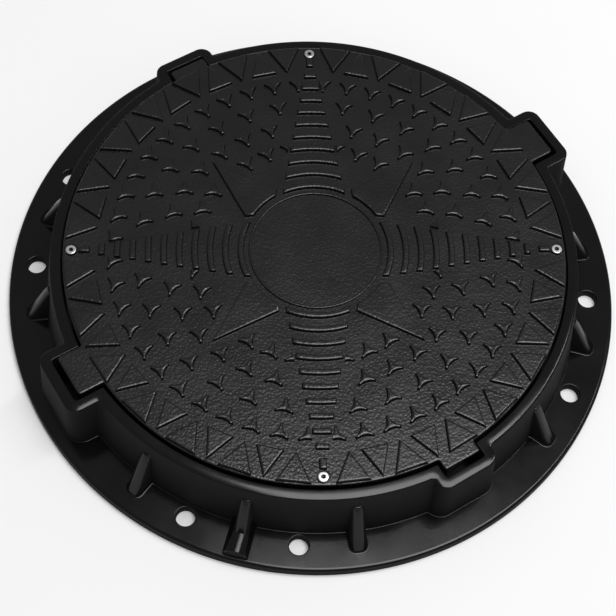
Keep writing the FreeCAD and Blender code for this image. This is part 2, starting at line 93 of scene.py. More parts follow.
def spread(points, count):
    """The same line with evenly spaced points."""
    steps = np.linalg.norm(np.diff(points, axis=0), axis=1)
    along = np.concatenate([[0.0], np.cumsum(steps)])
    wanted = np.linspace(0.0, along[-1], count)
    return np.column_stack([np.interp(wanted, along, points[:, axis]) for axis in (0, 1)])


def turned(points, angle):
    """Points turned round the middle of the part, counter-clockwise, by an angle in degrees."""
    c = math.cos(math.radians(angle))
    s = math.sin(math.radians(angle))
    return points @ np.array([[c, s], [-s, c]])


def bearing(vector):
    """The direction of a vector in degrees, counter-clockwise from the X axis."""
    return math.degrees(math.atan2(vector[1], vector[0]))


def let_out(outline, distance):
    """A closed outline, counter-clockwise, with every side moved outwards by the same distance."""
    into = outline - np.roll(outline, 1, axis=0)
    into /= np.linalg.norm(into, axis=1, keepdims=True)
    out = np.roll(into, -1, axis=0)
    outward = np.column_stack([into[:, 1] + out[:, 1], -into[:, 0] - out[:, 0]])
    return outline + outward * (distance / (1.0 + (into * out).sum(axis=1, keepdims=True)))


# %% The lugged outline
LID_RADIUS = 318.0
LUG_FIRST_ANGLE = 30.0
# Length and width of each lug
LUGS = ((32.0, 57.0), (14.0, 49.0), (32.0, 57.0), (14.0, 49.0))
LUG_PITCH = 360.0 / len(LUGS)
LUG_CORNER = 3.0
LUG_ROOT = 2.5
ROOT_POINTS = 7
FLANK_POINTS = 13
END_POINTS = 13
RING_POINTS = 61


def lug_side(ring, reach, half, corner, root):
    """One side of a lug, from the ring round its root, along its flank and round its corner to its end."""
    corner_centre = np.array([reach - corner, half - corner])
    root_centre = np.array([math.sqrt((ring + root) ** 2 - (half + root) ** 2), half + root])
    leaves = 90.0
    if root_centre[0] > corner_centre[0]:
        # Here the lug is too short for a straight flank, and its root runs into its corner.
        far = np.linalg.norm(corner_centre)
        along = ((ring + root) ** 2 - (corner + root) ** 2 + far ** 2) / (2.0 * far)
        across = math.sqrt((ring + root) ** 2 - along ** 2)
        way = corner_centre / far
        root_centre = along * way + across * np.array([-way[1], way[0]])
        leaves = bearing(root_centre - corner_centre)
    root_arc = arc(root_centre, root, bearing(-root_centre), leaves - 180.0, ROOT_POINTS)
    corner_arc = arc(corner_centre, corner, leaves, 0.0, FLANK_POINTS)
    flank = spread(np.concatenate([root_arc[-1:], corner_arc]), FLANK_POINTS)
    return np.concatenate([root_arc[:-1], flank])


def lugged_outline(ring, end, side, corner, root):
    """The lid's figure on a ring of any radius, with its lugs let out at their ends and sides."""
    mirror = np.array([1.0, -1.0])
    sides = []
    for length, width in LUGS:
        sides.append(lug_side(ring, LID_RADIUS + length + end, width / 2.0 + side, corner, root))
    pieces = []
    for i, lug in enumerate(sides):
        angle = LUG_FIRST_ANGLE + i * LUG_PITCH
        following = sides[(i + 1) % len(sides)]
        across = spread(np.array([lug[-1] * mirror, lug[-1]]), END_POINTS)
        whole = np.concatenate([(lug * mirror)[:-1], across[:-1], lug[:0:-1]])
        round_part = arc(MIDDLE, ring, bearing(lug[0]), LUG_PITCH - bearing(following[0]), RING_POINTS)
        pieces.append(turned(np.concatenate([whole, round_part[:-1]]), angle))
    return np.concatenate(pieces)


def round_as(outline, radius):
    """A circle with its points at the same angles as another outline's."""
    return outline * (radius / np.linalg.norm(outline, axis=1, keepdims=True))


lid_outline = lugged_outline(LID_RADIUS, 0.0, 0.0, LUG_CORNER, LUG_ROOT)
print("each lugged outline has", len(lid_outline), "points")

# %% Heights that several pieces share
FRAME_HEIGHT = 92.0
LID_RISE = 5.0
LID_DEPTH = 45.0
HEAD_RECESS_DEPTH = 2.6
HEAD_HEIGHT = 4.4
GROUND_Z = FRAME_HEIGHT + LID_RISE
SEAT_Z = GROUND_Z - LID_DEPTH
HEAD_SEAT_Z = GROUND_Z - HEAD_RECESS_DEPTH
HEAD_TOP_Z = HEAD_SEAT_Z + HEAD_HEIGHT
print("the lid rests at", SEAT_Z, "mm, and its face lies at", GROUND_Z, "mm")

# %% [markdown]
# ## From rows of points to a mesh
# A moulding with one section all the way round can be spun or swept, but a sweep keeps the same distance from
# one path, and here the pocket, the rim and the foot have lugs with different corners. So the skin is made of
# rows: each row is an outline and its height, and faces join each row to the next. Rounded edges are a few
# rows more. Normals are recalculated at the end, so it doesn't matter which way round the rows were listed.

# %% Skins over rows
def skin(rows, joined=False):
    """Points and faces over rows of (outline, height), closed by end faces or joined from last to first."""
    count = len(rows[0][0])
    points = np.concatenate([np.column_stack([outline, np.full(count, z)]) for outline, z in rows])
    faces = []
    for row in range(len(rows) if joined else len(rows) - 1):
        low = row * count
        high = (row + 1) % len(rows) * count
        faces += [(low + c, low + (c + 1) % count, high + (c + 1) % count, high + c) for c in range(count)]
    if not joined:
        faces.append(tuple(range(count))[::-1])
        faces.append(tuple(range(len(points) - count, len(points))))
    return points, faces


def mesh_object(name, *skins):
    """One object made of one or more closed skins, with its faces pointing outwards."""
    mesh = bpy.data.meshes.new(name)
    points = []
    faces = []
    for skin_points, skin_faces in skins:
        start = len(points)
        points += [tuple(point) for point in np.asarray(skin_points) * MM]
        faces += [tuple(start + i for i in face) for face in skin_faces]
    mesh.from_pydata(points, [], faces)
    editable = bmesh.new()
    editable.from_mesh(mesh)
    bmesh.ops.recalc_face_normals(editable, faces=editable.faces)
    editable.to_mesh(mesh)
    editable.free()
    piece = bpy.data.objects.new(name, mesh)
    bpy.context.collection.objects.link(piece)
    return piece


def quarter(outline, height, radius, outwards=True, steps=4, drop=None):
    """Rows that round an upper edge, from the upright side to the flat top.

    Without a drop it is a quarter circle, and with one it is a shoulder that falls by the drop.
    """
    depth = radius if drop is None else drop
    rows = []
    for angle in np.radians(np.linspace(0.0, 90.0, steps + 1)):
        inset = radius * (1.0 - math.cos(angle))
        moved = let_out(outline, -inset if outwards else inset)
        rows.append((moved, height - depth * (1.0 - math.sin(angle))))
    return rows


def hollow_quarter(outline, height, radius, steps=4):
    """Rows that blend an upright side down into a flat surface at its foot."""
    rows = []
    for angle in np.radians(np.linspace(0.0, 90.0, steps + 1)):
        rise = radius * (1.0 - math.sin(angle))
        rows.append((let_out(outline, radius * (1.0 - math.cos(angle))), height + rise))
    return rows


# %% [markdown]
# ## Node trees
# Studs, ribs, triangles, gussets, holes and screws all repeat round the middle. They could be copied in a
# loop, but a Geometry Nodes tree keeps the rule in one place: the object starts as a single stud, and the
# tree turns it into a ring of them. A second tree fuses what was moulded in one shot: it joins a body with
# its added shapes and cuts the holes, so that no face is left inside.

# %% Helpers for nodes
def add_node(tree, kind, links=(), **settings):
    """Adds a node, sets its properties, and links or fills its inputs."""
    node = tree.nodes.new(kind)
    for name, value in settings.items():
        setattr(node, name, value)
    for socket, value in dict(links).items():
        if isinstance(value, bpy.types.NodeSocket):
            tree.links.new(value, node.inputs[socket])
        else:
            node.inputs[socket].default_value = value
    return node


def maths(tree, operation, *values):
    """The result of a Math node, from its inputs in order."""
    return add_node(tree, "ShaderNodeMath", dict(enumerate(values)), operation=operation).outputs[0]


def new_tree(name, inputs):
    """An empty tree that takes geometry and the named inputs, and gives geometry."""
    tree = bpy.data.node_groups.new(name, "GeometryNodeTree")
    tree.interface.new_socket("Geometry", in_out="INPUT", socket_type="NodeSocketGeometry")
    for label, kind in inputs:
        tree.interface.new_socket(label, in_out="INPUT", socket_type=kind)
    tree.interface.new_socket("Geometry", in_out="OUTPUT", socket_type="NodeSocketGeometry")
    return tree, tree.nodes.new("NodeGroupInput").outputs


def end_tree(tree, geometry, finish):
    """Ends a tree in plain geometry with its finish."""
    real = add_node(tree, "GeometryNodeRealizeInstances", {"Geometry": geometry})
    named = add_node(tree, "GeometryNodeSetMaterial", {"Geometry": real.outputs[0], "Material": finish})
    add_node(tree, "NodeGroupOutput", {"Geometry": named.outputs[0]})
    print("tree", tree.name, "has", len(tree.nodes), "nodes")


def baked(piece, modifier):
    """Keeps what a modifier makes of an object as its plain mesh, and removes the modifier."""
    seen = piece.evaluated_get(bpy.context.evaluated_depsgraph_get())
    mesh = bpy.data.meshes.new_from_object(seen)
    piece.modifiers.remove(modifier)
    piece.data = mesh
    return piece


def grown(piece, tree, **inputs):
    """Runs a tree on an object and keeps the result as its plain mesh."""
    modifier = piece.modifiers.new(tree.name, "NODES")
    modifier.node_group = tree
    for item in tree.interface.items_tree:
        if item.in_out == "INPUT" and item.name.replace(" ", "_") in inputs:
            modifier[item.identifier] = inputs[item.name.replace(" ", "_")]
    baked(piece, modifier)
    print(piece.name, "has", len(piece.data.vertices), "points and", len(piece.data.polygons), "faces")
    return piece


# %% A ring of copies
ring_tree, given = new_tree("ring of copies", [
    ("Groups", "NodeSocketInt"), ("Copies", "NodeSocketInt"), ("First angle", "NodeSocketFloat"),
    ("Group step", "NodeSocketFloat"), ("Copy step", "NodeSocketFloat"), ("Finish", "NodeSocketMaterial")])
total = maths(ring_tree, "MULTIPLY", given["Groups"], given["Copies"])
dots = add_node(ring_tree, "GeometryNodePoints", {"Count": total})
index = add_node(ring_tree, "GeometryNodeInputIndex").outputs[0]
in_group = maths(ring_tree, "MODULO", index, given["Copies"])
group = maths(ring_tree, "FLOOR", maths(ring_tree, "DIVIDE", index, given["Copies"]))
group_angle = maths(ring_tree, "MULTIPLY_ADD", group, given["Group step"], given["First angle"])
copy_angle = maths(ring_tree, "MULTIPLY_ADD", in_group, given["Copy step"], group_angle)
spin = add_node(ring_tree, "ShaderNodeCombineXYZ", {"Z": maths(ring_tree, "RADIANS", copy_angle)})
copies = add_node(ring_tree, "GeometryNodeInstanceOnPoints",
                  {"Points": dots.outputs[0], "Instance": given["Geometry"], "Rotation": spin.outputs[0]})
end_tree(ring_tree, copies.outputs[0], given["Finish"])

# %% One moulding out of many shapes
mould_tree, given = new_tree("one moulding", [
    ("Added", "NodeSocketCollection"), ("Cut", "NodeSocketCollection"), ("Finish", "NodeSocketMaterial")])
added = add_node(mould_tree, "GeometryNodeCollectionInfo",
                 {"Collection": given["Added"], "Separate Children": True})
fused = add_node(mould_tree, "GeometryNodeMeshBoolean", operation="UNION", solver="MANIFOLD")
mould_tree.links.new(given["Geometry"], fused.inputs["Mesh 2"])
mould_tree.links.new(added.outputs[0], fused.inputs["Mesh 2"])
cut = add_node(mould_tree, "GeometryNodeCollectionInfo",
               {"Collection": given["Cut"], "Separate Children": True})
bored = add_node(mould_tree, "GeometryNodeMeshBoolean",
                 {"Mesh 1": fused.outputs[0], "Mesh 2": cut.outputs[0]},
                 operation="DIFFERENCE", solver="MANIFOLD")
end_tree(mould_tree, bored.outputs[0], given["Finish"])


def moulded(body, added, cut, finish):
    """Fuses the added shapes to a body, cuts the others out of it, and removes the shapes."""
    collections = []
    for label, shapes in (("added", added), ("cut", cut)):
        collection = bpy.data.collections.new(label)
        bpy.context.scene.collection.children.link(collection)
        for shape in shapes:
            collection.objects.link(shape)
        collections.append(collection)
    grown(body, mould_tree, Added=collections[0], Cut=collections[1], Finish=finish)
    for shape in added + cut:
        bpy.data.objects.remove(shape)
    for collection in collections:
        bpy.data.collections.remove(collection)
    return body


# %% Shading
SMOOTH_ANGLE = math.radians(32.0)
LARGEST_FACE_ONLY = 100


def shaded(piece):
    """Smooth shading that stops at sharp edges and keeps flat faces flat."""
    piece.data.shade_smooth()
    piece.data.set_sharp_from_angle(angle=SMOOTH_ANGLE)
    weighted = piece.modifiers.new("flat faces stay flat", "WEIGHTED_NORMAL")
    weighted.weight = LARGEST_FACE_ONLY
    weighted.keep_sharp = True
    return baked(piece, weighted)


# %% [markdown]
# ## Materials
# Every finish starts from what the real surface is made of, so colours are written as on a screen, in hex,
# and one function turns them into the linear values that the renderer counts in.

# %% Colours and a blank material
# A noise seldom leaves this range, so this much of it is stretched over what it steers.
NOISE_RANGE = (0.3, 0.7)


def linear(hex_colour):
    """An sRGB hex colour as linear red, green, blue and alpha."""
    values = [int(hex_colour[i:i + 2], 16) / 255.0 for i in (1, 3, 5)]
    return [v / 12.92 if v <= 0.04045 else ((v + 0.055) / 1.055) ** 2.4 for v in values] + [1.0]


def blank_material(name):
    """A material with nothing in it yet but the object's own coordinates."""
    material = bpy.data.materials.new(name)
    material.use_nodes = True
    tree = material.node_tree
    tree.nodes.clear()
    place = add_node(tree, "ShaderNodeTexCoord").outputs["Object"]
    return material, tree, place


def noise(tree, place, size_mm, detail):
    """A noise with patches of a size in millimetres. Output 0 is its value and output 1 its colour."""
    scale = 1.0 / (size_mm * MM)
    return add_node(tree, "ShaderNodeTexNoise", {"Vector": place, "Scale": scale, "Detail": detail})


def between(tree, share, first, second):
    """A colour on the way from the first to the second."""
    mix = add_node(tree, "ShaderNodeMix", {"Factor": share, 6: first, 7: second}, data_type="RGBA")
    return mix.outputs[2]


def remapped(tree, value, before, after=(0.0, 1.0)):
    """A value stretched from one range to another and held inside it."""
    ends = zip(("From Min", "From Max", "To Min", "To Max"), before + after)
    return add_node(tree, "ShaderNodeMapRange", {"Value": value, **dict(ends)}).outputs[0]


def bumped(tree, height, strength, depth_mm):
    """A normal that is bent by a pattern of a depth in millimetres."""
    inputs = {"Height": height, "Strength": strength, "Distance": depth_mm * MM}
    return add_node(tree, "ShaderNodeBump", inputs).outputs[0]


def end_material(tree, kind, inputs):
    """Ends a material in one shader."""
    shader = add_node(tree, kind, inputs)
    add_node(tree, "ShaderNodeOutputMaterial", {"Surface": shader.outputs[0]})


# %% [markdown]
# ### Frame: injection-moulded polypropylene
# Black polypropylene comes out of a polished tool with a satin skin. The eye sees soft reflections that break
# up a little, because the skin is never quite even, and faint flow marks where the melt ran. Two noises do
# that: a wide one for the roughness and a fine one for the bump. In the photograph what faces up mirrors the
# lamps and the upright sides stay dull, so the roughness also follows how far a face looks up. Polypropylene
# has an index of refraction of about 1.49. A lower one is set here, because it mirrors as little as the
# photograph shows.

# %% Satin black polypropylene
PLASTIC_IOR = 1.33
SATIN_ROUGHNESS = (0.1, 0.18)
SIDE_ROUGHNESS = 0.9
# How far a normal points up where a side ends and where a face counts as flat
FLAT_RANGE = (0.1, 0.5)
FLOW_MARK_MM = 55.0
FLOW_DETAIL = 5.0
# A real skin's grain is finer. It is drawn coarser here so that it shows.
SKIN_GRAIN_MM = 1.1
SKIN_GRAIN_DEPTH_MM = 0.15
SKIN_GRAIN_STRENGTH = 0.12

frame_plastic, tree, place = blank_material("moulded_black_polypropylene")
flow = noise(tree, place, FLOW_MARK_MM, FLOW_DETAIL).outputs[0]
grain = noise(tree, place, SKIN_GRAIN_MM, 3.0).outputs[0]
satin = remapped(tree, flow, NOISE_RANGE, SATIN_ROUGHNESS)
facing = add_node(tree, "ShaderNodeTexCoord").outputs["Normal"]
upwards = add_node(tree, "ShaderNodeSeparateXYZ", {0: facing}).outputs["Z"]
flatness = remapped(tree, upwards, FLAT_RANGE)
shine = add_node(tree, "ShaderNodeMix", {"Factor": flatness, 2: SIDE_ROUGHNESS, 3: satin})
tone = between(tree, flow, linear("#060607"), linear("#0b0b0c"))
bump = bumped(tree, grain, SKIN_GRAIN_STRENGTH, SKIN_GRAIN_DEPTH_MM)
end_material(tree, "ShaderNodeBsdfPrincipled", {
    "Base Color": tone, "Roughness": shine.outputs[0], "Normal": bump, "IOR": PLASTIC_IOR})

# %% [markdown]
# ### Lid: the same plastic with a hammered skin
# The lid's face is textured in the mould so that it isn't slippery: shallow dimples about three millimetres
# across, with a satin gloss. Voronoi cells give the dimples, and noise keeps them from looking ruled. The
# index of refraction is matched here too, and lies closer to the plastic's own.

# %% Hammered black polypropylene
LID_IOR = 1.46
LID_ROUGHNESS = (0.21, 0.29)
DIMPLE_MM = 3.4
DIMPLE_DEPTH_MM = 0.5
DIMPLE_STRENGTH = 0.45
DIMPLE_SMOOTHNESS = 0.8
DRIFT_MM = 1.5
GRIT_MM = 1.8
GRIT_SHARE = 0.45

cover_plastic, tree, place = blank_material("hammered_black_polypropylene")
drift = noise(tree, place, DIMPLE_MM, 2.0).outputs[1]
bent = add_node(tree, "ShaderNodeVectorMath", {0: drift, 1: [DRIFT_MM * MM] * 3, 2: place},
                operation="MULTIPLY_ADD")
dimples = add_node(tree, "ShaderNodeTexVoronoi", {
    "Vector": bent.outputs[0], "Scale": 1.0 / (DIMPLE_MM * MM), "Smoothness": DIMPLE_SMOOTHNESS},
    feature="SMOOTH_F1")
grit = noise(tree, place, GRIT_MM, 3.0).outputs[0]
hammered = maths(tree, "MULTIPLY_ADD", grit, GRIT_SHARE, dimples.outputs[0])
flow = noise(tree, place, FLOW_MARK_MM, FLOW_DETAIL).outputs[0]
shine = remapped(tree, flow, NOISE_RANGE, LID_ROUGHNESS)
tone = between(tree, flow, linear("#0a0a0b"), linear("#0f0f10"))
bump = bumped(tree, hammered, DIMPLE_STRENGTH, DIMPLE_DEPTH_MM)
end_material(tree, "ShaderNodeBsdfPrincipled", {
    "Base Color": tone, "Roughness": shine, "Normal": bump, "IOR": LID_IOR})

# %% [markdown]
# ### Screws and inserts: turned metal
# A stainless screw head is bright, with fine rings left by the lathe. Below a height near its top the colour is
# darkened, which is painted shade and grime in its socket and on the part of the head down in its recess. The
# inserts are turned brass. Rings round each screw's own axis would need its own coordinates, so a very fine
# noise stands for the tool marks.

# %% Stainless steel and brass
# Real tool marks are finer. They are drawn coarser here so that they show.
TOOL_MARK_MM = 0.5
TOOL_MARK_DEPTH_MM = 0.05
TOOL_MARK_STRENGTH = 0.1
ROUGHNESS_SPREAD = 0.08
STEEL_ROUGHNESS = 0.3
BRASS_ROUGHNESS = 0.35
# Painted shade and grime: the colour that a screw's socket and the lower part of its head are darkened to.
SOCKET_SHADE_AND_GRIME = "#1c1c1e"
SHADE_AND_GRIME_BELOW_TOP = 0.5
SHADE_AND_GRIME_FADE = 0.8
# The inserts lie above this height, so they get no painted shade and no grime.
NO_SHADE_AND_GRIME_Z = 0.0


def turned_metal(name, dark, light, roughness, shade_and_grime_z):
    """A metal whose colour and roughness vary with the tool marks, darkened below a height by painted shade and
    grime.
    """
    metal, tree, place = blank_material(name)
    marks = noise(tree, place, TOOL_MARK_MM, 4.0).outputs[0]
    bright = between(tree, marks, linear(dark), linear(light))
    height = add_node(tree, "ShaderNodeSeparateXYZ", {0: place}).outputs["Z"]
    # Painted shade and grime: below this height the colour darkens, over a short fade, to the dark colour.
    clear_of_shade_and_grime = remapped(tree, height, ((shade_and_grime_z - SHADE_AND_GRIME_FADE) * MM, shade_and_grime_z * MM))
    tone = between(tree, clear_of_shade_and_grime, linear(SOCKET_SHADE_AND_GRIME), bright)
    shine = remapped(tree, marks, (0.0, 1.0), (roughness - ROUGHNESS_SPREAD, roughness + ROUGHNESS_SPREAD))
    bump = bumped(tree, marks, TOOL_MARK_STRENGTH, TOOL_MARK_DEPTH_MM)
    end_material(tree, "ShaderNodeBsdfPrincipled", {
        "Base Color": tone, "Metallic": 1.0, "Roughness": shine, "Normal": bump})
    return metal


screw_steel = turned_metal("turned_stainless_steel", "#b4b4b6", "#dcdcde", STEEL_ROUGHNESS,
                           HEAD_TOP_Z - SHADE_AND_GRIME_BELOW_TOP)
insert_brass = turned_metal("turned_brass", "#b08a3e", "#d6b66a", BRASS_ROUGHNESS, NO_SHADE_AND_GRIME_Z)
print("materials:", [material.name for material in (frame_plastic, cover_plastic, screw_steel, insert_brass)])

# %% [markdown]
# ## The frame
# The frame is a ring with a ledge inside for the lid to rest on, a pocket above it, a rim, a wall that leans
# outwards on its way down and a wide flange. The wall stands out round each lug. It is one skin over rows
# that run from the ledge up the pocket, over the rim, down the wall, out over the flange and back underneath.
# The rim and the flange fall away in soft shoulders at their outer edges, because such a shoulder mirrors a
# lamp as one long line.

# %% Frame body
LEDGE_THICKNESS = 12.0
LEDGE_WIDTH = 26.0
LID_GAP = 3.0
LUG_END_GAP = 7.5
POCKET_ROUND = 1.0
RIM_WIDTH = 13.5
# A shoulder starts this far in from the edge and falls by the round. It stays below the corner's radius, so
# that no outline crosses itself.
RIM_SHOULDER = 11.0
RIM_ROUND = 1.5
WALL_SPREAD = 11.5
WALL_ROWS = 6
BUMP_SPREAD = 6.0
BUMP_CORNER = 15.0
BUMP_ROOT = 4.0
FOOT_ROUND = 1.2
FLANGE_THICKNESS = 13.0
FLANGE_WIDTH = 49.0
FLANGE_SHOULDER = 5.0
FLANGE_ROUND = 3.0
LOWER_WALL = 16.0
HOLLOW_CORNER = 5.0
SHOULDER_STEPS = 6

LEDGE_BOTTOM_Z = SEAT_Z - LEDGE_THICKNESS
POCKET_RADIUS = LID_RADIUS + LID_GAP
OPENING_RADIUS = POCKET_RADIUS - LEDGE_WIDTH
RIM_RADIUS = POCKET_RADIUS + RIM_WIDTH
FOOT_RADIUS = RIM_RADIUS + WALL_SPREAD
FLANGE_RADIUS = FOOT_RADIUS + FLANGE_WIDTH
HOLLOW_RADIUS = FOOT_RADIUS - LOWER_WALL

rim_end = LUG_END_GAP + RIM_WIDTH
rim_side = LID_GAP + RIM_WIDTH
lower = BUMP_SPREAD - LOWER_WALL
pocket = lugged_outline(POCKET_RADIUS, LUG_END_GAP, LID_GAP, LUG_CORNER, LUG_ROOT)
rim = lugged_outline(RIM_RADIUS, rim_end, rim_side, BUMP_CORNER, BUMP_ROOT)
foot = lugged_outline(FOOT_RADIUS, rim_end + BUMP_SPREAD, rim_side + BUMP_SPREAD, BUMP_CORNER + BUMP_SPREAD,
                      BUMP_ROOT)
hollow = lugged_outline(HOLLOW_RADIUS, rim_end + lower, rim_side + lower, HOLLOW_CORNER, HOLLOW_CORNER)
opening = round_as(pocket, OPENING_RADIUS)
flange = round_as(foot, FLANGE_RADIUS)


def wall(height):
    """The wall's outside at one height, on a straight line from the rim to the foot."""
    share = (FRAME_HEIGHT - height) / (FRAME_HEIGHT - FLANGE_THICKNESS)
    return rim * (1.0 - share) + foot * share


frame_rows = [(opening, LEDGE_BOTTOM_Z)]
frame_rows += quarter(opening, SEAT_Z, POCKET_ROUND, outwards=False, steps=2)
frame_rows += [(pocket, SEAT_Z)]
frame_rows += quarter(pocket, FRAME_HEIGHT, POCKET_ROUND, outwards=False)
frame_rows += quarter(rim, FRAME_HEIGHT, RIM_SHOULDER, steps=SHOULDER_STEPS, drop=RIM_ROUND)[::-1]
heights = np.linspace(FRAME_HEIGHT - RIM_ROUND, FLANGE_THICKNESS + FOOT_ROUND, WALL_ROWS)[1:-1]
frame_rows += [(wall(height), height) for height in heights]
frame_rows += hollow_quarter(foot, FLANGE_THICKNESS, FOOT_ROUND)
frame_rows += quarter(flange, FLANGE_THICKNESS, FLANGE_SHOULDER, steps=SHOULDER_STEPS,
                      drop=FLANGE_ROUND)[::-1]
frame_rows += [(flange, 0.0), (hollow, 0.0), (hollow, LEDGE_BOTTOM_Z)]
frame_body = mesh_object("frame_body", skin(frame_rows, joined=True))
print("frame body of", len(frame_rows), "rows")

# %% [markdown]
# ### Gussets, boss and webs
# Twelve gussets prop the wall on the flange. Each is a narrow bar with a rounded nose that leans back as it
# rises, so it is a skin over rows too: nose outlines from a wide one at the foot to a narrow one at the top.
# Only one is drawn, on the X axis, and the ring tree sets three between each pair of lugs. The webs under the
# ledge stand at the same angles, inside the wall.

# %% One gusset
GUSSET_START = 22.0
GUSSET_PITCH = 22.5
GUSSETS_PER_QUARTER = 3
GUSSET_DROP = 20.0
GUSSET_FOOT_REACH = 27.0
GUSSET_FOOT_HALF = 10.0
GUSSET_FOOT_CORNER = 7.0
GUSSET_TOP_REACH = 3.5
GUSSET_TOP_HALF = 6.0
GUSSET_TOP_CORNER = 4.5
GUSSET_BLEND = 2.5
GUSSET_CROWN = 2.5
GUSSET_FIRST_ROW = 25.0
GUSSET_LAST_ROW_DROP = 8.0
GUSSET_ROWS = 4
NOSE_POINTS = 7

gusset_top = FRAME_HEIGHT - GUSSET_DROP
gusset_foot_end = FOOT_RADIUS + GUSSET_FOOT_REACH
gusset_top_end = RIM_RADIUS + WALL_SPREAD * GUSSET_DROP / (FRAME_HEIGHT - FLANGE_THICKNESS) + GUSSET_TOP_REACH
inside_wall = FOOT_RADIUS - LOWER_WALL / 2.0


def nose(near, far, half, corner):
    """A bar seen from above, square at its near end and rounded at its far end."""
    right = arc((far - corner, corner - half), corner, -90.0, 0.0, NOSE_POINTS)
    left = arc((far - corner, half - corner), corner, 0.0, 90.0, NOSE_POINTS)
    return np.concatenate([[(near, -half)], right, left, [(near, half)]])


def gusset_section(height):
    """A gusset cut level at one height."""
    share = (gusset_top - height) / (gusset_top - FLANGE_THICKNESS)
    low = nose(inside_wall, gusset_foot_end, GUSSET_FOOT_HALF, GUSSET_FOOT_CORNER)
    high = nose(RIM_RADIUS - RIM_WIDTH / 3.0, gusset_top_end, GUSSET_TOP_HALF, GUSSET_TOP_CORNER)
    return high * (1.0 - share) + low * share


gusset_foot = gusset_section(FLANGE_THICKNESS)
gusset_heights = np.linspace(GUSSET_FIRST_ROW, gusset_top - GUSSET_LAST_ROW_DROP, GUSSET_ROWS)
gusset_rows = [(let_out(gusset_foot, GUSSET_BLEND), FLANGE_THICKNESS / 2.0)]
gusset_rows += hollow_quarter(gusset_foot, FLANGE_THICKNESS, GUSSET_BLEND)[::-1]
gusset_rows += [(gusset_section(height), height) for height in gusset_heights]
gusset_rows += quarter(gusset_section(gusset_top), gusset_top, GUSSET_CROWN)
gussets = mesh_object("gussets", skin(gusset_rows))
first_gusset = LUG_FIRST_ANGLE + GUSSET_START
per_quarter = {"Groups": len(LUGS), "Group_step": LUG_PITCH, "Copy_step": GUSSET_PITCH,
               "Finish": frame_plastic}
grown(gussets, ring_tree, Copies=GUSSETS_PER_QUARTER, First_angle=first_gusset, **per_quarter)

# %% The half-round boss
# It lies on the flange at the foot of one gusset, like half a pipe, and runs back into the wall.
BOSS_QUARTER = 2
BOSS_GUSSET = 1
BOSS_HALF_WIDTH = 16.0
BOSS_MARGIN = 6.0
BOSS_EDGE = 1.5
BOSS_LOW_Z = 6.0
BOSS_POINTS = 33

boss_angle = first_gusset + BOSS_QUARTER * LUG_PITCH + BOSS_GUSSET * GUSSET_PITCH


def lying(rows):
    """Rows that were drawn upright, laid down so that their height runs along the X axis."""
    points, faces = skin(rows)
    return np.column_stack([points[:, 2], points[:, 0], points[:, 1]]), faces


half_round = np.concatenate([arc((0.0, FLANGE_THICKNESS), BOSS_HALF_WIDTH, 0.0, 180.0, BOSS_POINTS),
                             [(-BOSS_HALF_WIDTH, BOSS_LOW_Z), (BOSS_HALF_WIDTH, BOSS_LOW_Z)]])
boss_rows = [(half_round, inside_wall)] + quarter(half_round, FLANGE_RADIUS - BOSS_MARGIN, BOSS_EDGE)
boss = mesh_object("boss", lying(boss_rows))
boss.data.transform(Matrix.Rotation(math.radians(boss_angle), 4, "Z"))
print("boss at", boss_angle, "degrees")

# %% Webs and insert bosses under the ledge
WEB_HALF_WIDTH = 4.5
WEB_HEIGHT = 30.0
WEB_SETBACK = 2.0
WEB_TOE = 1.0
WEB_CORNER = 0.4
WEB_SINK = 2.0
SCREW_COUNT = 4
SCREW_INSET = 10.5
SCREW_CIRCLE = LID_RADIUS - SCREW_INSET
SCREW_STEP = 360.0 / SCREW_COUNT
INSERT_RADIUS = 5.6
INSERT_LENGTH = 18.0
INSERT_BOSS_RADIUS = 11.0
INSERT_BOSS_FLOOR = 4.0
INSERT_BOSS_TOP_GAP = 1.0

web_low = nose(inside_wall - WEB_TOE, inside_wall, WEB_HALF_WIDTH, WEB_CORNER)
web_high = nose(OPENING_RADIUS + WEB_SETBACK, inside_wall, WEB_HALF_WIDTH, WEB_CORNER)
web_rows = [(web_low, LEDGE_BOTTOM_Z - WEB_HEIGHT), (web_high, LEDGE_BOTTOM_Z + WEB_SINK)]
webs = mesh_object("webs", skin(web_rows))
grown(webs, ring_tree, Copies=GUSSETS_PER_QUARTER, First_angle=first_gusset, **per_quarter)


def disc(radius, count=48, centre=(SCREW_CIRCLE, 0.0)):
    """A circle, round the first screw's axis unless another centre is given."""
    return arc(centre, radius, 0.0, 360.0, count + 1)[:-1]


per_screw = {"Groups": SCREW_COUNT, "Copies": 1, "First_angle": 0.0, "Group_step": SCREW_STEP,
             "Copy_step": 0.0}
insert_bottom = SEAT_Z - INSERT_LENGTH
insert_boss = disc(INSERT_BOSS_RADIUS)
insert_bosses = mesh_object("insert_bosses", skin(
    [(insert_boss, insert_bottom - INSERT_BOSS_FLOOR), (insert_boss, SEAT_Z - INSERT_BOSS_TOP_GAP)]))
grown(insert_bosses, ring_tree, Finish=frame_plastic, **per_screw)

# %% Anchor holes and insert bores
# The cutter for an anchor hole is a pin with a flared collar, so that the hole it leaves has a rounded lip.
# A bore is narrower under its insert, which stands on that step, and goes right through.
ANCHOR_HOLE_RADIUS = 12.0
ANCHOR_OFFSET = 16.5
HOLE_LIP = 1.5
LOW_BORE_RADIUS = 4.5
# How far a cutter reaches past the surface that it cuts
OVERSHOOT = 5.0

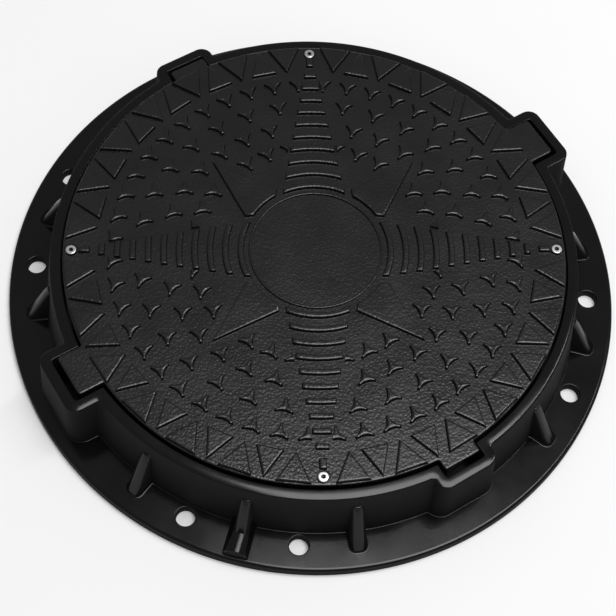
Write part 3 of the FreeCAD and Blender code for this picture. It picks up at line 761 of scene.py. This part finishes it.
anchor = disc(ANCHOR_HOLE_RADIUS, centre=(FOOT_RADIUS + ANCHOR_OFFSET, 0.0))
pin_rows = [(anchor, -OVERSHOOT), (anchor, FLANGE_THICKNESS - HOLE_LIP)]
pin_rows += quarter(anchor, FLANGE_THICKNESS, HOLE_LIP, outwards=False)[1:]
pin_rows += [(let_out(anchor, HOLE_LIP), FLANGE_THICKNESS + OVERSHOOT)]
anchor_pins = mesh_object("anchor_pins", skin(pin_rows))
grown(anchor_pins, ring_tree, Copies=GUSSETS_PER_QUARTER - 1, First_angle=first_gusset + GUSSET_PITCH / 2.0,
      **per_quarter)
bore_rows = [(disc(LOW_BORE_RADIUS), 0.0), (disc(LOW_BORE_RADIUS), insert_bottom)]
bore_rows += [(disc(INSERT_RADIUS), insert_bottom), (disc(INSERT_RADIUS), SEAT_Z + OVERSHOOT)]
insert_bores = mesh_object("insert_bores", skin(bore_rows))
grown(insert_bores, ring_tree, Finish=frame_plastic, **per_screw)

# %% One frame
frame_piece = moulded(frame_body, [gussets, boss, webs, insert_bosses], [anchor_pins, insert_bores],
                      frame_plastic)
frame_piece.name = "frame_moulding"
shaded(frame_piece)

# %% [markdown]
# ## The lid
# The lid is an upside-down dish: a plate with a skirt round its edge and ribs underneath. Its body is rows
# again, out over the plate, round its edge, down the skirt and back under the plate.

# %% Lid body
LID_PLATE = 10.0
LID_SKIRT = 9.0
LID_SHOULDER = 2.8
LID_EDGE_ROUND = 1.0
PLATE_RADII = (296.0, 260.0, 220.0, 180.0, 140.0, 100.0, 60.0, 20.0)

plate_z = GROUND_Z - LID_PLATE
skirt = lugged_outline(LID_RADIUS - LID_SKIRT, -LID_SKIRT, -LID_SKIRT, LUG_CORNER, LUG_ROOT)
lid_rows = [(round_as(lid_outline, radius), GROUND_Z) for radius in PLATE_RADII[::-1]]
lid_rows += quarter(lid_outline, GROUND_Z, LID_SHOULDER, steps=SHOULDER_STEPS, drop=LID_EDGE_ROUND)[::-1]
lid_rows += [(lid_outline, SEAT_Z), (skirt, SEAT_Z), (skirt, plate_z)]
lid_rows += [(round_as(skirt, radius), plate_z) for radius in PLATE_RADII]
lid_body = mesh_object("lid_body", skin(lid_rows))
print("lid body of", len(lid_rows), "rows")

# %% Ribs under the lid
LID_RIB_HALF_WIDTH = 3.5
LID_RIB_CORNER = 0.5
LID_RIB_COUNT = 24
# The ribs end a little above the skirt's bottom, so that their lower faces don't lie in its plane.
LID_RIB_SETBACK = 0.2
LID_RING_COUNT = 3
LID_RING_PITCH = 66.0
LID_HUB_RADIUS = 60.0
LID_HUB_POINTS = 96
LID_BOSS_RADIUS = 10.0
RING_FACETS = 180
rib_low = SEAT_Z + LID_RIB_SETBACK
rib_high = plate_z + LID_PLATE / 2.0


def tube(outer, inner, low, high):
    """A plain ring round the middle, with flat ends."""
    inside = disc(inner, RING_FACETS, MIDDLE)
    outside = disc(outer, RING_FACETS, MIDDLE)
    return skin([(inside, low), (outside, low), (outside, high), (inside, high)], joined=True)


spoke = nose(LID_HUB_RADIUS / 2.0, LID_RADIUS - LID_SKIRT / 2.0, LID_RIB_HALF_WIDTH, LID_RIB_CORNER)
spokes = mesh_object("spokes", skin([(spoke, rib_low), (spoke, rib_high)]))
grown(spokes, ring_tree, Groups=1, Copies=LID_RIB_COUNT, First_angle=180.0 / LID_RIB_COUNT,
      Group_step=0.0, Copy_step=360.0 / LID_RIB_COUNT, Finish=cover_plastic)
hub = disc(LID_HUB_RADIUS, LID_HUB_POINTS, MIDDLE)
under = [spokes, mesh_object("hub", skin([(hub, rib_low), (hub, rib_high)]))]
for k in range(1, LID_RING_COUNT + 1):
    outer = LID_HUB_RADIUS + k * LID_RING_PITCH
    under.append(mesh_object("under_ring", tube(outer, outer - 2.0 * LID_RIB_HALF_WIDTH, rib_low, rib_high)))
lid_boss = disc(LID_BOSS_RADIUS)
lid_bosses = mesh_object("lid_bosses", skin([(lid_boss, SEAT_Z), (lid_boss, rib_high)]))
under.append(grown(lid_bosses, ring_tree, Finish=cover_plastic, **per_screw))

# %% [markdown]
# ## The raised pattern
# The lid's face carries a cross of ribs, four star points between its arms, rings of three-pointed studs and
# a border of triangles. Each raised shape leans in a little on its way up so that it leaves the mould, and
# has a soft upper edge, which is what catches the light. One function makes most of them from an outline.

# %% A raised shape
RELIEF_HEIGHT = 4.5
RELIEF_SINK = 0.5
RELIEF_DRAFT = 1.0
RELIEF_SHOULDER = 2.4
RELIEF_EDGE = 1.0
SHOULDER_ROWS = 6
SOFT_CORNER = 1.2
SOFT_CORNER_POINTS = 4


def softened(corners):
    """A polygon with its corners rounded off."""
    points = []
    for i, corner in enumerate(corners):
        before = corners[i - 1] - corner
        after = corners[(i + 1) % len(corners)] - corner
        begin = corner + before * (SOFT_CORNER / np.linalg.norm(before))
        end = corner + after * (SOFT_CORNER / np.linalg.norm(after))
        for t in np.linspace(0.0, 1.0, SOFT_CORNER_POINTS):
            points.append((1.0 - t) ** 2 * begin + 2.0 * t * (1.0 - t) * corner + t ** 2 * end)
    return np.array(points)


def raised(corners, soft=True):
    """A raised shape with sloping sides and a soft upper edge, sunk a little into the lid's face."""
    corners = np.asarray(corners, dtype=float)
    rows = [(corners, GROUND_Z - RELIEF_SINK)]
    for angle in np.radians(np.linspace(0.0, 90.0, SHOULDER_ROWS)):
        inset = RELIEF_DRAFT + RELIEF_SHOULDER * (1.0 - math.cos(angle))
        height = RELIEF_HEIGHT - RELIEF_EDGE * (1.0 - math.sin(angle))
        rows.append((let_out(corners, -inset), GROUND_Z + height))
    return skin([(softened(outline) if soft else outline, height) for outline, height in rows])


def polar(radius, angle):
    """A point at a radius and an angle in degrees."""
    return radius * np.array([math.cos(math.radians(angle)), math.sin(math.radians(angle))])


# %% The arms of the cross
CENTRE_RING_RADIUS = 85.0
HEAD_RECESS_RADIUS = 8.6
RIB_START = 10.0
RIB_PITCH = 19.4
RIB_HALF_WIDTH = 4.3
RIB_ROOT_HALF = 40.0
RIB_TIP_HALF = 8.5
RIB_POINTS = 12
BAR_LENGTH = 15.0
BAR_HALF_WIDTH = 5.0
BAR_GAP = 12.0

bar_end = SCREW_CIRCLE - HEAD_RECESS_RADIUS
bar_start = bar_end - BAR_LENGTH
rib_radii = np.arange(CENTRE_RING_RADIUS + RIB_START, bar_start - BAR_GAP, RIB_PITCH)
rib_halves = np.linspace(RIB_ROOT_HALF, RIB_TIP_HALF, len(rib_radii))


def bent_bar(radius, half):
    """A rib that is bent round the lid's middle, with ends that run along the arm."""
    inner = radius - RIB_HALF_WIDTH
    outer = radius + RIB_HALF_WIDTH
    near = math.degrees(math.asin(half / inner))
    far = math.degrees(math.asin(half / outer))
    return np.concatenate([arc(MIDDLE, inner, near, -near, RIB_POINTS),
                           arc(MIDDLE, outer, -far, far, RIB_POINTS)])


bar = [(bar_start, -BAR_HALF_WIDTH), (bar_end, -BAR_HALF_WIDTH), (bar_end, BAR_HALF_WIDTH),
       (bar_start, BAR_HALF_WIDTH)]
arm_shapes = [raised(bent_bar(radius, half), soft=False) for radius, half in zip(rib_radii, rib_halves)]
arm_shapes.append(raised(bar))
arms = mesh_object("arms", *arm_shapes)
grown(arms, ring_tree, Finish=cover_plastic, **per_screw)
print("each arm has", len(rib_radii), "ribs")

# %% Star points and centre ring
STAR_ANGLE = 45.0
STAR_TIP = CENTRE_RING_RADIUS + 101.0
STAR_CORNER = CENTRE_RING_RADIUS + 16.0
STAR_BASE = CENTRE_RING_RADIUS + 7.0
STAR_CORNER_ANGLE = 17.0
STAR_BASE_ANGLE = 13.0
STAR_BASE_POINTS = 13
CENTRE_RING_WIDTH = 3.2
CENTRE_RING_HEIGHT = 2.4
CENTRE_RING_ROUND = 1.2

star_tips = [polar(STAR_CORNER, -STAR_CORNER_ANGLE), polar(STAR_TIP, 0.0),
             polar(STAR_CORNER, STAR_CORNER_ANGLE)]
star_base = arc(MIDDLE, STAR_BASE, STAR_BASE_ANGLE, -STAR_BASE_ANGLE, STAR_BASE_POINTS)
stars = mesh_object("stars", raised(np.concatenate([star_tips, star_base]), soft=False))
grown(stars, ring_tree, Finish=cover_plastic, **{**per_screw, "First_angle": STAR_ANGLE})
ring_low = GROUND_Z - RELIEF_SINK
ring_top = GROUND_Z + CENTRE_RING_HEIGHT
outside = disc(CENTRE_RING_RADIUS, RING_FACETS, MIDDLE)
inside = disc(CENTRE_RING_RADIUS - CENTRE_RING_WIDTH, RING_FACETS, MIDDLE)
ring_rows = [(outside, ring_low)] + quarter(outside, ring_top, CENTRE_RING_ROUND)
ring_rows += quarter(inside, ring_top, CENTRE_RING_ROUND, outwards=False)[::-1] + [(inside, ring_low)]
centre_ring = mesh_object("centre_ring", skin(ring_rows, joined=True))

# %% Border triangles
# Triangles that point out and in take turns. Where a screw stands, the one that points out is missing.
BORDER_OUTER = LID_RADIUS - 0.8
BORDER_INNER = LID_RADIUS - 42.0
BORDER_PAIRS = 28
OUT_HALF = 18.0
IN_HALF = 22.0

pitch = 360.0 / BORDER_PAIRS
in_base = math.sqrt(BORDER_OUTER ** 2 - IN_HALF ** 2)
pointing_out = mesh_object("pointing_out", raised(
    [(BORDER_INNER, OUT_HALF), (BORDER_INNER, -OUT_HALF), (BORDER_OUTER, 0.0)]))
grown(pointing_out, ring_tree, Groups=SCREW_COUNT, Copies=BORDER_PAIRS // SCREW_COUNT - 1, First_angle=pitch,
      Group_step=SCREW_STEP, Copy_step=pitch, Finish=cover_plastic)
pointing_in = mesh_object("pointing_in", raised(
    [(BORDER_INNER, 0.0), (in_base, -IN_HALF), (in_base, IN_HALF)]))
grown(pointing_in, ring_tree, Groups=1, Copies=BORDER_PAIRS, First_angle=pitch / 2.0, Group_step=0.0,
      Copy_step=pitch, Finish=cover_plastic)

# %% [markdown]
# ### Studs
# A stud is a three-pointed star with hollow sides, and one point looks to the middle of the lid. It narrows
# from a broad foot to a small crown, so its slopes show as a light and a dark side. The studs stand in four
# rings, and the arms of the cross keep a clear strip, so a stud that reaches into an arm is cut back there.

# %% Rings of studs
# Reach of the points, of the hollow sides and half the width of a point, at the foot and at the crown
STUD_FOOT = (13.5, 5.8, 1.7)
STUD_CROWN = (8.0, 1.3, 0.3)
# The share of the way from foot to crown where a stud's side turns into its soft upper edge
STUD_SHOULDER = 0.3
STUD_SIDE_POINTS = 6
STUD_OUTER_RING = BORDER_INNER - 20.0
STUD_RING_PITCH = 33.5
# Ring counted from the outside, and copies, first angle and step from copy to copy in each quarter
STUD_RINGS = (
    (0, 12, 3.75, 7.5),
    (1, 7, 11.25, 11.25),
    (2, 6, 16.875, 11.25),
    (3, 3, 11.25, 11.25),
    (3, 3, 56.25, 11.25),
)
ARM_MARGIN = 2.0
# A height that clears the whole raised pattern, for cutters that come from above
CUT_TOP_Z = GROUND_Z + 9.0


def three_points(reach, hollow_reach, half_width):
    """Three points with hollow sides between them, the first one towards the middle of the lid."""
    sides = []
    for k in range(3):
        tip = np.array([-reach, 0.0])
        begin = turned(tip + [0.0, -half_width], 120.0 * k)
        end = turned(tip + [0.0, half_width], 120.0 * (k + 1))
        waist = turned(np.array([-hollow_reach, 0.0]), 120.0 * k + 60.0)
        pull = 2.0 * waist - (begin + end) / 2.0
        t = np.linspace(0.0, 1.0, STUD_SIDE_POINTS)[:, None]
        sides.append((1.0 - t) ** 2 * begin + 2.0 * t * (1.0 - t) * pull + t ** 2 * end)
    return np.concatenate(sides)


def stud(radius):
    """One stud on a ring of the lid, drawn in from its foot to its crown."""
    foot_outline = three_points(*STUD_FOOT) + [radius, 0.0]
    crown_outline = three_points(*STUD_CROWN) + [radius, 0.0]
    rows = [(foot_outline, GROUND_Z - RELIEF_SINK)]
    for angle in np.radians(np.linspace(0.0, 90.0, SHOULDER_ROWS)):
        share = 1.0 - (1.0 - STUD_SHOULDER) * math.cos(angle)
        height = RELIEF_HEIGHT - RELIEF_EDGE * (1.0 - math.sin(angle))
        rows.append((foot_outline * (1.0 - share) + crown_outline * share, GROUND_Z + height))
    return skin(rows)


strip_stations = [(0.0, RIB_ROOT_HALF), (rib_radii[0], RIB_ROOT_HALF), (rib_radii[-1], RIB_TIP_HALF),
                  (LID_RADIUS, RIB_TIP_HALF)]
strip = [(along, -half - ARM_MARGIN) for along, half in strip_stations]
strip += [(along, half + ARM_MARGIN) for along, half in strip_stations[::-1]]
strip_rows = [(np.array(strip), plate_z), (np.array(strip), CUT_TOP_Z)]
studs = []
for ring, count, first, step in STUD_RINGS:
    piece = mesh_object("studs", stud(STUD_OUTER_RING - ring * STUD_RING_PITCH))
    grown(piece, ring_tree, Groups=SCREW_COUNT, Copies=count, First_angle=first, Group_step=SCREW_STEP,
          Copy_step=step, Finish=cover_plastic)
    strips = grown(mesh_object("strips", skin(strip_rows)), ring_tree, Finish=cover_plastic, **per_screw)
    studs.append(moulded(piece, [], [strips], cover_plastic))

# %% One lid
# The screws go through the plate in flat-bottomed recesses.
SCREW_HOLE_RADIUS = 4.5

hole_rows = [(disc(SCREW_HOLE_RADIUS), SEAT_Z - OVERSHOOT), (disc(SCREW_HOLE_RADIUS), HEAD_SEAT_Z)]
hole_rows += [(disc(HEAD_RECESS_RADIUS), HEAD_SEAT_Z), (disc(HEAD_RECESS_RADIUS), CUT_TOP_Z)]
screw_holes = mesh_object("screw_holes", skin(hole_rows))
grown(screw_holes, ring_tree, Finish=cover_plastic, **per_screw)
relief = studs + [arms, stars, centre_ring, pointing_out, pointing_in]
cover_piece = moulded(lid_body, under + relief, [screw_holes], cover_plastic)
cover_piece.name = "cover_moulding"
shaded(cover_piece)

# %% [markdown]
# ## Screws and inserts
# The screws are button heads with a hexagon socket. Their thread is a helix. It could be swept along a
# spiral, but it can be drawn by rows as well: the radius of each point goes in and out with its height and
# its angle. The inserts are sleeves with the same thread inside and a knurl outside that grips the plastic.

# %% Screws
HEAD_RADIUS = 7.0
HEAD_ROUND = 1.6
HEAD_STEPS = 5
SOCKET_ACROSS = 5.0
SOCKET_DEPTH = 2.6
SOCKET_CHAMFER = 0.35
DRILL_POINT_DEPTH = 0.4
DRILL_POINT_SHARE = 0.1
SHANK_RADIUS = 4.0
SHANK_TIP_SHARE = 0.7
SHANK_TIP_LENGTH = 0.5
THREAD_ENGAGEMENT = 17.0
THREAD_PAST_SEAT = 1.0
PLAIN_SHANK_START = 2.0
THREAD_PITCH = 1.25
THREAD_DEPTH = 0.65
ROWS_PER_PITCH = 6.0
SCREW_POINTS = 48

screw_bottom = SEAT_Z - THREAD_ENGAGEMENT
thread_step = THREAD_PITCH / ROWS_PER_PITCH
around = np.arange(SCREW_POINTS) * 360.0 / SCREW_POINTS
level = np.ones(SCREW_POINTS)


def spun(radii):
    """A figure round a screw's axis, with a radius for each of its points."""
    angles = np.radians(around)
    return np.column_stack([SCREW_CIRCLE + radii * np.cos(angles), radii * np.sin(angles)])


def thread(height, crest, depth):
    """Radii round a thread at one height: the ridge climbs by one pitch in each turn."""
    climb = (height / THREAD_PITCH - around / 360.0) % 1.0
    return crest - depth * np.abs(2.0 * climb - 1.0)


shank = spun(level * SHANK_RADIUS)
head = spun(level * HEAD_RADIUS)
hexagon = SOCKET_ACROSS / 2.0 / np.cos(np.radians(around % 60.0 - 30.0))
socket_floor = HEAD_TOP_Z - SOCKET_DEPTH
screw_rows = [(spun(level * SHANK_RADIUS * SHANK_TIP_SHARE), screw_bottom)]
for height in np.arange(screw_bottom + SHANK_TIP_LENGTH, SEAT_Z + THREAD_PAST_SEAT, thread_step):
    screw_rows.append((spun(thread(height, SHANK_RADIUS, THREAD_DEPTH)), height))
screw_rows += [(shank, SEAT_Z + PLAIN_SHANK_START), (shank, HEAD_SEAT_Z), (head, HEAD_SEAT_Z)]
screw_rows += quarter(head, HEAD_TOP_Z, HEAD_ROUND, steps=HEAD_STEPS)
screw_rows += [(spun(hexagon + SOCKET_CHAMFER), HEAD_TOP_Z), (spun(hexagon), HEAD_TOP_Z - SOCKET_CHAMFER)]
screw_rows += [(spun(hexagon), socket_floor)]
screw_rows += [(spun(hexagon * DRILL_POINT_SHARE), socket_floor - DRILL_POINT_DEPTH)]
screws = mesh_object("cover_screw_set", skin(screw_rows))
shaded(grown(screws, ring_tree, Finish=screw_steel, **per_screw))

# %% Inserts
BORE_RADIUS = 4.05
BORE_CHAMFER = 0.6
THREAD_STOP = 0.3
KNURL_DEPTH = 0.25
KNURL_END = 2.0
INSERT_ROWS = 13

mouth = spun(level * (BORE_RADIUS + BORE_CHAMFER))
ridges = KNURL_DEPTH * (np.arange(SCREW_POINTS) % 2)
insert_rows = []
for height in np.linspace(insert_bottom, SEAT_Z, INSERT_ROWS):
    knurled = insert_bottom + KNURL_END < height < SEAT_Z - KNURL_END
    insert_rows.append((spun(level * INSERT_RADIUS - (ridges if knurled else 0.0)), height))
insert_rows.append((mouth, SEAT_Z))
for height in np.arange(SEAT_Z - BORE_CHAMFER, insert_bottom + THREAD_STOP, -thread_step):
    ridge = thread(height, THREAD_DEPTH, THREAD_DEPTH)
    insert_rows.append((spun(BORE_RADIUS + THREAD_DEPTH - ridge), height))
insert_rows.append((mouth, insert_bottom))
inserts = mesh_object("threaded_insert_set", skin(insert_rows, joined=True))
shaded(grown(inserts, ring_tree, Finish=insert_brass, **per_screw))

# %% [markdown]
# ## What each piece stands for
# The part has no joints, so every piece rides on its one body. Each piece takes the place of a CAD node,
# which then isn't shown.

# %% Bind the pieces to the frame
PIECES = (
    (frame_piece, "frame", "frame_plastic"),
    (cover_piece, "cover", "cover_plastic"),
    (screws, "cover_screws", "screw_steel"),
    (inserts, "threaded_inserts", "insert_brass"),
)
for piece, node, slot in PIECES:
    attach(piece, "root")
    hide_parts(node)
    print(piece.name, "stands for", node)

# %% [markdown]
# ## Floor and light
# The cover stands on a plain white floor. A wide soft box hangs above it, a little to the right. The front
# of the lid and of the flange mirrors what is close to that box, so it is lighter than the back. A narrow
# strip hangs further to the right and askew, and the soft shoulders of the rim and the flange mirror it as
# crisp lines at the right front. The world gives an even, dim fill.

# %% Floor
FLOOR_HALF = 6.0
FLOOR_MOTTLE = 3.0

floor_mesh = bpy.data.meshes.new("floor")
corners = [(x * FLOOR_HALF, y * FLOOR_HALF, 0.0) for x, y in ((-1, -1), (1, -1), (1, 1), (-1, 1))]
floor_mesh.from_pydata(corners, [], [(0, 1, 2, 3)])
floor = bpy.data.objects.new("floor", floor_mesh)
bpy.context.collection.objects.link(floor)
floor_paint, tree, place = blank_material("white_floor_paint")
mottle = add_node(tree, "ShaderNodeTexNoise", {"Vector": place, "Scale": FLOOR_MOTTLE, "Detail": 2.0})
tone = between(tree, mottle.outputs[0], linear("#f6f6f6"), linear("#fafafa"))
end_material(tree, "ShaderNodeBsdfDiffuse", {"Color": tone})
floor_mesh.materials.append(floor_paint)
print("floor of", 2.0 * FLOOR_HALF, "metres")

# %% Lights
SOFT_BOX_SIZE = (2.9, 3.0)
SOFT_BOX_PLACE = (1.15, 0.0, 6.0)
SOFT_BOX_POWER = 252.0
STRIP_SIZE = (0.3, 2.6)
STRIP_PLACE = (3.45, 1.4, 6.0)
STRIP_POWER = 49.0
STRIP_TURN = math.radians(-43.0)
FILL = 0.34


def area_lamp(name, size, place, power):
    """A rectangular lamp that hangs level and shines straight down."""
    lamp = bpy.data.lights.new(name, "AREA")
    lamp.shape = "RECTANGLE"
    lamp.size, lamp.size_y = size
    lamp.energy = power
    holder = bpy.data.objects.new(name, lamp)
    holder.location = place
    bpy.context.collection.objects.link(holder)
    print(name, "at", place, "metres")
    return holder


area_lamp("soft_box", SOFT_BOX_SIZE, SOFT_BOX_PLACE, SOFT_BOX_POWER)
area_lamp("strip_lamp", STRIP_SIZE, STRIP_PLACE, STRIP_POWER).rotation_euler.z = STRIP_TURN

world = bpy.data.worlds.new("studio")
bpy.context.scene.world = world
world.use_nodes = True
world.node_tree.nodes.clear()
air = add_node(world.node_tree, "ShaderNodeBackground", {"Color": linear("#ffffff"), "Strength": FILL})
add_node(world.node_tree, "ShaderNodeOutputWorld", {"Surface": air.outputs[0]})
bpy.context.scene.view_settings.view_transform = "Standard"
